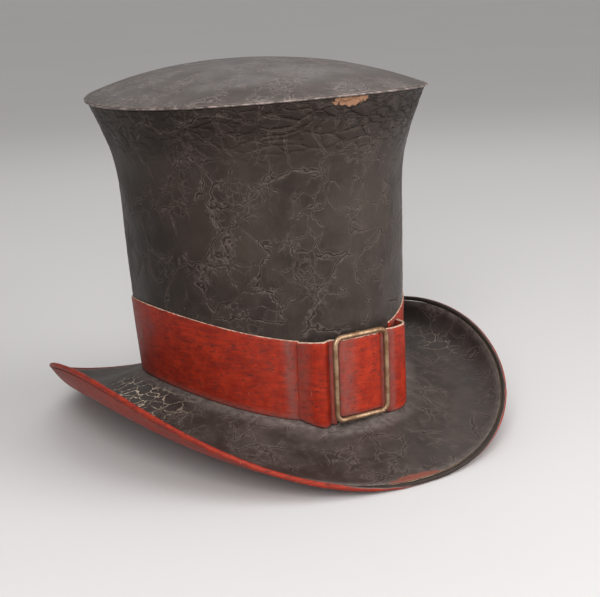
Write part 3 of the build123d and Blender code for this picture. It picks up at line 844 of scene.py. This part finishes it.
# ---- Crown ----
def crown_wall():
    theta = angles(480)
    foot = 0.0005
    top = 1 - RIM_GAP / CROWN_HEIGHT
    outer_shares = np.linspace(foot, top, 190)[:, None]
    inner_shares = np.linspace(top, foot, 10)[:, None]
    outer = wall_point(theta, outer_shares, WALL_INSET)
    inner = wall_point(theta, inner_shares, WALL_INSET + WALL_THICKNESS)
    grid = np.concatenate([outer, inner])
    below_rim = (top - outer_shares) * CROWN_HEIGHT
    fade = smooth(0, 4 * MM, below_rim) * smooth(0, 0.01, outer_shares) + 0 * theta
    chip_reach, chip_depth = math.radians(6.6), 5.2 * MM
    chip = 1 - 0.5 * np.hypot(past(theta, -1.3) / chip_reach, below_rim / chip_depth)
    wrinkled = (1 - smooth(12 * MM, 46 * MM, below_rim)) * lerp(0.5, 1, near(theta, 15, 60))
    # Painted shade: the wall is darkened under the tip's overhang and on its left side, away from the light.
    painted_shade = (1 - smooth(8 * MM, 40 * MM, below_rim)) + 0.8 * near(theta, -100, 55)
    fields = {
        "relief": first_rows(fade, grid),
        "bare": first_rows(np.clip(chip, 0, 1), grid),
        "wrinkled": first_rows(wrinkled, grid),
        "painted_shade": first_rows(np.clip(painted_shade, 0, 1), grid),
    }
    piece = hoop_piece("crown_wall", grid, fields)
    relief(piece, wall_height)
    finish_piece(piece, "black_wall", "hat", "crown_side")


def crown_dome():
    theta = angles(400)
    scales = np.linspace(0.02, 1, 110)[:, None]
    upper = dome_point(theta, scales, WALL_INSET, 0)
    rounding = np.linspace(0, math.pi, 7)[1:-1, None]
    lip_out = 0.5 * MM * np.sin(rounding)
    lip = dome_point(theta, 1.0, WALL_INSET - lip_out, 1.0 * MM * (1 - np.cos(rounding)))
    lower = dome_point(theta, np.linspace(1, 0.02, 16)[:, None], WALL_INSET, 2 * MM)
    grid = np.concatenate([upper, lip, lower])
    fields = {
        "relief": first_rows(1 - smooth(0.95, 1.0, scales), grid),
        "flaked": first_rows(near(theta, -105, 60) * smooth(0.3, 0.8, scales), grid),
        # Painted highlight along the dome's outer edge.
        "rim": first_rows(smooth(0.985, 0.998, scales), grid),
    }
    piece = disc_piece("crown_dome", grid, fields)
    relief(piece, dome_height)
    finish_piece(piece, "black_dome", "hat", "crown_tip")


def rim_welt():
    theta = angles(720)[0]
    rim = wall_point(theta, 1.0, WALL_INSET)
    out, up = directions(theta)
    thickness = WELT_RADIUS * (1 + 0.12 * np.sin(9 * theta) * np.sin(23 * theta + 1))[:, None]
    middles = rim + out * WELT_OUT - up * WELT_DROP
    piece = hoop_piece("rim_welt", tube_rings(middles, out, up, thickness, 10))
    # The welt's pale grey is a painted highlight along the tip's edge.
    finish_piece(piece, "edge_highlight", "hat", "tip_welt")


# ---- Brim ----
BRIM_COLUMNS = 440


def brim_sheet(rows, depth, thickness, fine_on_top):
    """One painted skin of the brim: a fine grid on the side that shows and a coarse one behind it."""
    theta = angles(BRIM_COLUMNS)
    fine_depth = depth if fine_on_top else depth + thickness
    coarse_depth = 2 * depth + thickness - fine_depth
    fine_shares = np.linspace(0, 1, rows)[:, None]
    coarse_shares = np.linspace(1, 0, 9)[:, None]
    fine = brim_point(theta, fine_shares, fine_depth)
    coarse = brim_point(theta, coarse_shares, coarse_depth)
    lip_back = base_point(theta, HEAD_INSET, -coarse_depth)
    lip_front = base_point(theta, HEAD_INSET, -fine_depth)
    grid = np.concatenate([fine, coarse, lip_back, lip_front])
    return theta, fine_shares, grid


def brim_upper():
    theta, shares, grid = brim_sheet(90, 0, SKIN, True)
    cream = near(theta, -90, 34) * hill(0.02, 0.15, 0.5, 0.9, shares)
    behind = near(theta, 78, 20) * hill(0.3, 0.5, 0.7, 0.85, shares) * 0.3
    round_band = (1 - smooth(0.03, 0.16, shares)) * (0.6 + 0.6 * near(theta, -5, 60))
    round_strap = (1 - smooth(0.17, 0.3, shares)) * near(theta, 0, 38)
    dust_and_shading = round_band + round_strap + 0.7 * smooth(0.93, 1, shares)
    # Painted shade on the brim: darker on its right, behind the crown, and on its left.
    painted_shade = near(theta, 100, 60) + 0.7 * near(theta, -95, 40)
    from_pit = np.hypot(past(theta, 37) * 22, (shares - 0.18) * 12)
    fields = {
        "relief": first_rows(within(0.06, 0.94, shares), grid),
        "cracked": first_rows(np.clip(cream + behind, 0, 1), grid),
        "dust_and_shading": first_rows(np.clip(dust_and_shading, 0, 1), grid),
        "bare": first_rows(near(theta, -1, 13) * smooth(0.88, 1.0, shares), grid),
        "painted_shade": first_rows(np.clip(painted_shade, 0, 1) + 0 * shares, grid),
        "pit": first_rows(1 - smooth(0.3, 1, from_pit), grid),
    }
    piece = hoop_piece("brim_upper", grid, fields)
    relief(piece, brim_height)
    finish_piece(piece, "black_brim", "hat", "brim_top")


def brim_lower():
    _, shares, grid = brim_sheet(80, BRIM_THICKNESS - SKIN, SKIN, False)
    fields = {
        "relief": first_rows(within(0.06, 0.94, shares), grid),
        "dust_and_shading": first_rows(0.25 + 0.5 * smooth(0.9, 1, shares), grid),
    }
    piece = hoop_piece("brim_lower", grid, fields)
    relief(piece, red_relief)
    finish_piece(piece, "red", "hat", "brim_underside")


def brim_bead():
    """The leather rolled round the edge wire, open on the side that faces the brim's layers."""
    theta = angles(900)[0]
    middle, out, down = roll_frame(theta)
    opening = math.radians(150)
    turn = np.linspace(-opening, opening, 15)[:, None]
    knocked = 0.1 * MM * near(theta, 0, 14) * np.abs(np.sin(31 * theta) + np.sin(47 * theta + 1))
    outer_radius = ROLL_RADIUS + 0.05 * MM * np.sin(13 * theta) * np.sin(29 * theta) - knocked
    sections = []
    for radius, steps in ((outer_radius[:, None], turn[:, 0]), (ROLL_HOLLOW, turn[::-1, 0])):
        for angle in steps:
            sections.append(middle + radius * (out * math.cos(angle) + down * math.sin(angle)))
    grid = np.array(sections)
    # The bead is paler on its upper side: a painted highlight along its top. It is paler at the front from
    # wear.
    facing_up = np.clip(-np.sin(turn), 0, 1)
    past_front = np.degrees(past(theta, 0))
    past_back = np.degrees(past(theta, 180))
    right_side = smooth(-28, -6, past_front) * (1 - smooth(-2, 18, past_back) * (past_back < 150))
    underneath = np.degrees(turn) - 65 * near(theta, 8, 22)
    fields = {
        "wear_and_highlight": first_rows(0.25 * facing_up + 0.3 * near(theta, 4, 14), grid),
        "dust_and_shading": np.full(grid.shape[:2], 0.2),
        "blacked": first_rows(right_side * (1 - smooth(-70, 25, underneath)), grid),
        "rubbed": np.broadcast_to(right_side, grid.shape[:2]),
    }
    piece = hoop_piece("brim_bead", grid, fields)
    finish_piece(piece, "red", "hat", "brim_binding")


# ---- Band, strap and buckle ----
BAND_END = 36 * MM


def hat_band():
    heights = np.linspace(0, 1, 50)[:, None]
    half_width = wall_point(math.pi / 2, heights * BAND_HEIGHT / CROWN_HEIGHT, 0)[..., 0]
    end_angle = np.arcsin(BAND_END / half_width)
    theta = lerp(end_angle, TURN - end_angle, np.linspace(0, 1, 400)[None, :])
    bottom = base_level(theta) + GAP
    top = base_level(theta) + BAND_HEIGHT
    level = lerp(bottom, top, heights)
    shares = wall_share(theta, level)
    rounding = 0.35 * MM * (smooth(0.965, 1.0, heights) + 1 - smooth(0, 0.03, heights))
    front = wall_point(theta, shares, rounding)
    back = wall_point(theta, shares, BAND_THICKNESS)
    wear_and_highlight = smooth(0.965, 1.0, heights) * 0.62 + 0 * theta
    seam = near(theta, -27, 4) + near(theta, 27, 4)
    dust_and_shading = np.clip(0.8 * (1 - smooth(0, 0.1, heights)) + 0.8 * seam + 0.1, 0, 1)
    fade = within(0.06, 0.94, heights) + 0 * theta
    piece = slab_piece("hat_band", front, back, {"wear_and_highlight": wear_and_highlight, "dust_and_shading": dust_and_shading, "relief": fade})
    relief(piece, lambda tree: tree.times(red_relief(tree), 0.5))
    finish_piece(piece, "red", "hat", "hat_band")


def curve_through(marks, values, at):
    """A smooth curve through values at marks, read at other places."""
    slopes = np.gradient(values, marks)
    i = np.clip(np.searchsorted(marks, at) - 1, 0, len(marks) - 2)
    width = marks[i + 1] - marks[i]
    first = values[i] + slopes[i] * width / 3
    second = values[i + 1] - slopes[i + 1] * width / 3
    return bezier((at - marks[i]) / width, values[i], first, second, values[i + 1])


def wall_front(x, level):
    """Y of the wall's front at a distance from the middle."""
    theta = np.linspace(0, 0.8, 400)
    wall = wall_point(theta, np.clip(wall_share(theta, level), 0, 1), WALL_INSET)
    return np.interp(x, wall[:, 0], wall[:, 1])


STRAP_MIDDLE = ((0, -0.5), (9, -0.1), (16, 1.1), (18.2, 4), (20.3, 5.8), (22.3, 4.7))
NARROW_ROLL = ((25.5, 3.6), (30.5, 6.4))
NARROW_EDGE = ((35, 5.9), (37.6, 2.4))
WIDE_ROLL = ((27.5, 3.6), (34.5, 4.6), (41, 7.8), (45, 12.5))
WIDE_EDGE = ((47.5, 2.6),)
GROOVE = (17.7 * MM, 18.5 * MM)
STRAP_FOOT = -7.8 * MM
STRAP_FOOT_TILT = 0.3
STRAP_HEAD = 47.4 * MM
STRAP_HEAD_TILT = -0.05


def strap_line(level, count):
    """The strap's face seen from above: a bulge, a groove for each side wire and a roll on each side."""

    def half(roll, edge):
        side = [(x * MM, WIRE_FRONT + behind * MM) for x, behind in STRAP_MIDDLE + roll]
        return side + [(x * MM, wall_front(x * MM, level) - off * MM) for x, off in edge]

    right = half(NARROW_ROLL, NARROW_EDGE)
    knots = np.array([(-x, y) for x, y in right[:0:-1]] + half(WIDE_ROLL, WIDE_EDGE))
    marks = np.cumsum(np.concatenate([[0], np.hypot(*np.diff(knots, axis=0).T)]))
    at = np.linspace(0, marks[-1], count)
    return curve_through(marks, knots[:, 0], at), curve_through(marks, knots[:, 1], at)


def buckle_strap():
    rows, columns = 64, 240
    low_x, low_y = strap_line(SEAT, columns)
    high_x, high_y = strap_line(strap_high.z, columns)
    inside = 1 - smooth(*GROOVE, np.abs(low_x))
    wire_gap = WIRE_RADIUS * 2 + 0.25 * MM
    outer_foot = SEAT + STRAP_FOOT + STRAP_FOOT_TILT * (low_y + BASE_HALF_LENGTH)
    outer_head = SEAT + STRAP_HEAD + STRAP_HEAD_TILT * (high_y + BASE_HALF_LENGTH)
    foot = lerp(outer_foot, buckle_low.z + wire_gap, inside)
    head = lerp(outer_head, buckle_high.z - wire_gap, inside)
    share = np.linspace(0, 1, rows)[:, None]
    z = lerp(foot, head, share)
    height = (z - SEAT) / (strap_high.z - SEAT)
    x, y = lerp(low_x, high_x, height), lerp(low_y, high_y, height)
    along_x, along_y = np.gradient(x, axis=1), np.gradient(y, axis=1)
    length = np.hypot(along_x, along_y)
    edge = 0.4 * MM * (smooth(0.96, 1, share) + 1 - smooth(0, 0.04, share))
    front = points(x - along_y / length * edge, y + along_x / length * edge, z)
    back = points(x - along_y / length * STRAP_THICKNESS, y + along_x / length * STRAP_THICKNESS, z)
    side = x / MM
    # Painted shading on the strap: the rolls' outer sides, the valleys at the side wires, the left third of
    # the middle bulge and the inner side of the right roll are greyed for how light falls across their
    # curves. The grey at the foot is dust.
    flank = smooth(31, 36, -side) * 0.6 + smooth(42, 46, side) * 0.5
    groove = hill(15, 18, 21, 23, np.abs(side)) * 0.75
    left_grey = smooth(0, 12, -side) * inside * 0.75
    right_roll = hill(20, 23, 27, 32, side) * 0.75
    dust_and_shading = flank + groove + left_grey + right_roll + 0.7 * (1 - smooth(0, 0.06, share))
    wear_and_highlight = np.clip(smooth(0.965, 1, share) * 0.7 + 0 * x, 0, 1)
    fade = within(0.1, 0.9, share) * smooth(0, 0.03, np.linspace(0, 1, columns))
    fields = {"dust_and_shading": np.clip(dust_and_shading, 0, 1), "wear_and_highlight": wear_and_highlight, "relief": fade}
    piece = slab_piece("strap", front, back, fields)
    relief(piece, lambda tree: tree.times(red_relief(tree), 0.6))
    finish_piece(piece, "red", "hat", "buckle_strap")


BUCKLE_CORNER = 5 * MM


def buckle_path(count):
    """Points and directions round the buckle: a rectangle with rounded corners."""
    radius = BUCKLE_CORNER
    half_width = buckle_high.x - WIRE_RADIUS
    half_height = (buckle_high.z - buckle_low.z) / 2 - WIRE_RADIUS
    centre = (buckle_high.z + buckle_low.z) / 2
    flat_x, flat_z = half_width - radius, half_height - radius
    arc = radius * math.pi / 2
    lengths = [2 * flat_z, arc, 2 * flat_x, arc] * 2
    marks = np.cumsum([0] + lengths)
    middles, outs = [], []
    for travelled in np.linspace(0, marks[-1], count, endpoint=False):
        leg = int(np.searchsorted(marks, travelled, side="right")) - 1
        along = (travelled - marks[leg]) / lengths[leg]
        corner = leg // 2
        signs = [(1, 1), (-1, 1), (-1, -1), (1, -1)][corner]
        before = [(1, -1), (1, 1), (-1, 1), (-1, -1)][corner]
        if leg % 2 == 0:
            turn = corner * math.pi / 2
            x = lerp(before[0] * flat_x, signs[0] * flat_x, along)
            z = lerp(before[1] * flat_z, signs[1] * flat_z, along)
        else:
            turn = (corner + along) * math.pi / 2
            x, z = signs[0] * flat_x, signs[1] * flat_z
        out = (math.cos(turn), 0, math.sin(turn))
        middles.append((x + radius * out[0], WIRE_FRONT, centre + z + radius * out[2]))
        outs.append(out)
    return np.array(middles), np.array(outs)


def buckle_wire_height(tree):
    return tree.layers((tree.noise(11, shift=3), 0.2), (1.0, -0.12))


def buckle_wire():
    middles, outs = buckle_path(360)
    forward = points(0, -1, np.zeros(len(middles)))
    grid = tube_rings(middles, outs, forward, WIRE_RADIUS * 0.97, 20)
    piece = hoop_piece("buckle_wire", grid, {"relief": np.ones(grid.shape[:2])})
    relief(piece, buckle_wire_height)
    finish_piece(piece, "brass", "buckle", "buckle_frame")


# ---- Inside the hat ----
def inner_sweatband():
    theta = angles(360)
    heights = np.linspace(0, 1, 30)[:, None]
    lift = lerp(-BRIM_THICKNESS, SWEATBAND_HEIGHT, heights)
    wave = 0.25 * MM * (1 + np.sin(17 * theta) * np.sin(5 * theta + 1)) * smooth(0.2, 1, heights)
    inner = base_point(theta, SWEATBAND_INSET + SWEATBAND_THICKNESS + wave, lift)
    outer = base_point(theta, SWEATBAND_INSET + wave, lift)[::-1]
    grid = np.concatenate([inner, outer])
    fields = {"dust_and_shading": first_rows(1 - smooth(0, 0.3, heights), grid)}
    piece = hoop_piece("inner_sweatband", grid, fields)
    finish_piece(piece, "hide", "hat", "sweatband")


def sweatband_piping():
    theta = angles(480)[0]
    inset = SWEATBAND_INSET + SWEATBAND_THICKNESS / 2
    middles = base_point(theta, inset, -BRIM_THICKNESS - 1.0 * MM)
    out, up = directions(theta)
    twist = PIPING_RADIUS * (1 + 0.06 * np.sin(160 * theta))[:, None]
    piece = hoop_piece("sweatband_piping", tube_rings(middles, out, up, twist, 12))
    finish_piece(piece, "hide", "hat", "sweatband_welt")


def stitches():
    """Short threads that arch over the sweatband's lower edge."""
    steps, sides = 9, 8
    inset = SWEATBAND_INSET + SWEATBAND_THICKNESS + STITCH_ARCH / 2
    rings, faces = [], []
    for i in range(STITCH_COUNT):
        span = np.linspace(-1, 1, steps)
        theta = TURN * (i + 0.5) / STITCH_COUNT + span * STITCH_HALF_ANGLE
        arch = STITCH_ARCH * (1 - span**2)
        middles = base_point(theta, inset + arch, STITCH_LEVEL)
        out, up = directions(theta)
        radii = STITCH_RADIUS * np.sqrt(np.clip(1 - span**4 * 0.95, 0, 1))[:, None]
        grid = tube_rings(middles, out, up, radii, sides)
        start = i * steps * sides
        faces += [tuple(start + v for v in face) for face in grid_faces(sides, steps, True, False)]
        faces.append(tuple(start + k * steps for k in range(sides)))
        faces.append(tuple(start + k * steps + steps - 1 for k in range(sides)))
        rings.append(grid.reshape(-1, 3))
    piece = mesh_piece("stitches", np.concatenate(rings), faces)
    finish_piece(piece, "linen", "hat", "sweatband_stitches")


def lining_wall():
    """The cotton round the inside of the crown, gathered a little at its top."""
    theta = angles(400)
    shares = np.linspace(0.08, 0.9, 60)[:, None]
    folds = 0.3 * MM * (1 + np.sin(60 * theta + 2 * np.sin(7 * theta))) * smooth(0.3, 0.9, shares)
    outer = wall_point(theta, shares, LINING_INSET + folds)
    inner = wall_point(theta, shares, LINING_INSET + LINING + folds)[::-1]
    piece = hoop_piece("lining_wall", np.concatenate([outer, inner]))
    finish_piece(piece, "cotton", "hat", "lining_side")


def lining_top():
    theta = angles(300)
    scales = np.linspace(0.03, 1, 50)[:, None]
    inset = HEAD_INSET + LINING_TOP_INSET
    gathers = 0.25 * MM * np.sin(48 * theta) * smooth(0.6, 1, scales)
    rim_drop = LINING_TOP_DROP + 2.5 * MM * smooth(0.9, 1, scales)
    upper = dome_point(theta, scales, inset, rim_drop + gathers)
    lower = dome_point(theta, scales, inset, rim_drop + gathers + LINING)[::-1]
    piece = disc_piece("lining_top", np.concatenate([upper, lower]))
    finish_piece(piece, "cotton", "hat", "lining_tip")


CAD_FINISHES = {
    "crown_foundation": "board",
    "tip_foundation": "board",
    "back_seam_strip": "tape",
    "brim_board": "board",
    "brim_collar": "board",
    "brim_edge_wire": "steel",
    "buckle_bar": "brass",
}


def finish_cad_nodes():
    """The CAD nodes that stay, most of them inside the hat, get their materials."""
    for node, finish in CAD_FINISHES.items():
        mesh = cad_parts[node].data
        mesh.materials.clear()
        mesh.materials.append(MATERIALS[finish])


# ---- Stage, light and camera ----
def floor():
    half = 40.0
    steps = 24
    side = np.linspace(-half, half, steps)
    grid = points(side[None, :], side[:, None], cad_low.z)
    piece = mesh_piece("floor", grid, grid_faces(steps, steps, False, False))

    def build(tree):
        tone = tree.noise(500, detail=3.0)
        return {"Base Color": tree.mix(tone, grey(0.52, 0.1), grey(0.55, 0.1)), "Roughness": 0.8}, tone

    made = material("floor", build)
    made.node_tree.nodes["Bump"].inputs["Strength"].default_value = 0.0
    piece.data.materials.append(made)


AIM = Vector((0, 0, 0.12))


def direction(azimuth, elevation):
    """From the hat towards a light or the camera. Azimuth 0 is the front and grows towards +X."""
    across = math.cos(elevation)
    return Vector((math.sin(azimuth) * across, -math.cos(azimuth) * across, math.sin(elevation)))


def softbox(name, azimuth, elevation, distance, width, height, power):
    """A rectangular area light, placed by its direction in degrees and aimed at the hat."""
    light = bpy.data.lights.new(name, "AREA")
    light.shape = "RECTANGLE"
    light.size, light.size_y = width, height
    light.energy = power
    lamp = bpy.data.objects.new(name, light)
    back = direction(math.radians(azimuth), math.radians(elevation))
    lamp.location = AIM + back * distance
    lamp.rotation_mode = "QUATERNION"
    lamp.rotation_quaternion = (-back).to_track_quat("-Z", "Y")
    bpy.context.scene.collection.objects.link(lamp)


def overhead():
    """A broad even light from above, mostly for the floor."""
    light = bpy.data.lights.new("overhead", "SUN")
    light.energy = 1.3
    light.angle = math.radians(70)
    lamp = bpy.data.objects.new("overhead", light)
    lamp.rotation_euler = (math.radians(8), 0, 0)
    bpy.context.scene.collection.objects.link(lamp)


def daylight():
    world = bpy.data.worlds.new("studio")
    world.use_nodes = True
    world.node_tree.nodes["Background"].inputs[0].default_value = (1.0, 0.98, 0.95, 1)
    world.node_tree.nodes["Background"].inputs[1].default_value = 0.2
    bpy.context.scene.world = world


CAMERA_AZIMUTH = math.radians(-32.811)
CAMERA_ELEVATION = math.radians(13.577)
CAMERA_ROLL = math.radians(-2.414)
CAMERA_DISTANCE = 0.98027
CAMERA_LENS = 83.11
AIM_RIGHT = 0.02312
AIM_HEIGHT = SEAT + 0.05153


def camera():
    data = bpy.data.cameras.new("camera")
    data.lens = CAMERA_LENS
    data.sensor_width = 36
    data.clip_start, data.clip_end = 0.02, 200
    made = bpy.data.objects.new("camera", data)
    bpy.context.scene.collection.objects.link(made)
    back = direction(CAMERA_AZIMUTH, CAMERA_ELEVATION)
    right = Vector((math.cos(CAMERA_AZIMUTH), math.sin(CAMERA_AZIMUTH), 0))
    up = back.cross(right)
    rolled_right = right * math.cos(CAMERA_ROLL) + up * math.sin(CAMERA_ROLL)
    rolled_up = up * math.cos(CAMERA_ROLL) - right * math.sin(CAMERA_ROLL)
    axes = Matrix((rolled_right, rolled_up, back)).transposed()
    aim = right * AIM_RIGHT + Vector((0, 0, AIM_HEIGHT))
    made.matrix_world = Matrix.Translation(aim + back * CAMERA_DISTANCE) @ axes.to_4x4()
    bpy.context.scene.camera = made


crown_wall()
crown_dome()
rim_welt()
brim_upper()
brim_lower()
brim_bead()
hat_band()
buckle_strap()
buckle_wire()
inner_sweatband()
sweatband_piping()
stitches()
lining_wall()
lining_top()
finish_cad_nodes()

floor()
softbox("key", -38, 26, 1.5, 0.5, 0.9, 20)
softbox("side", 34, 18, 1.4, 1.4, 0.8, 20)
softbox("back", 150, 38, 1.6, 1.4, 0.8, 4)
overhead()
daylight()
camera()
bpy.context.scene.view_settings.view_transform = "Standard"
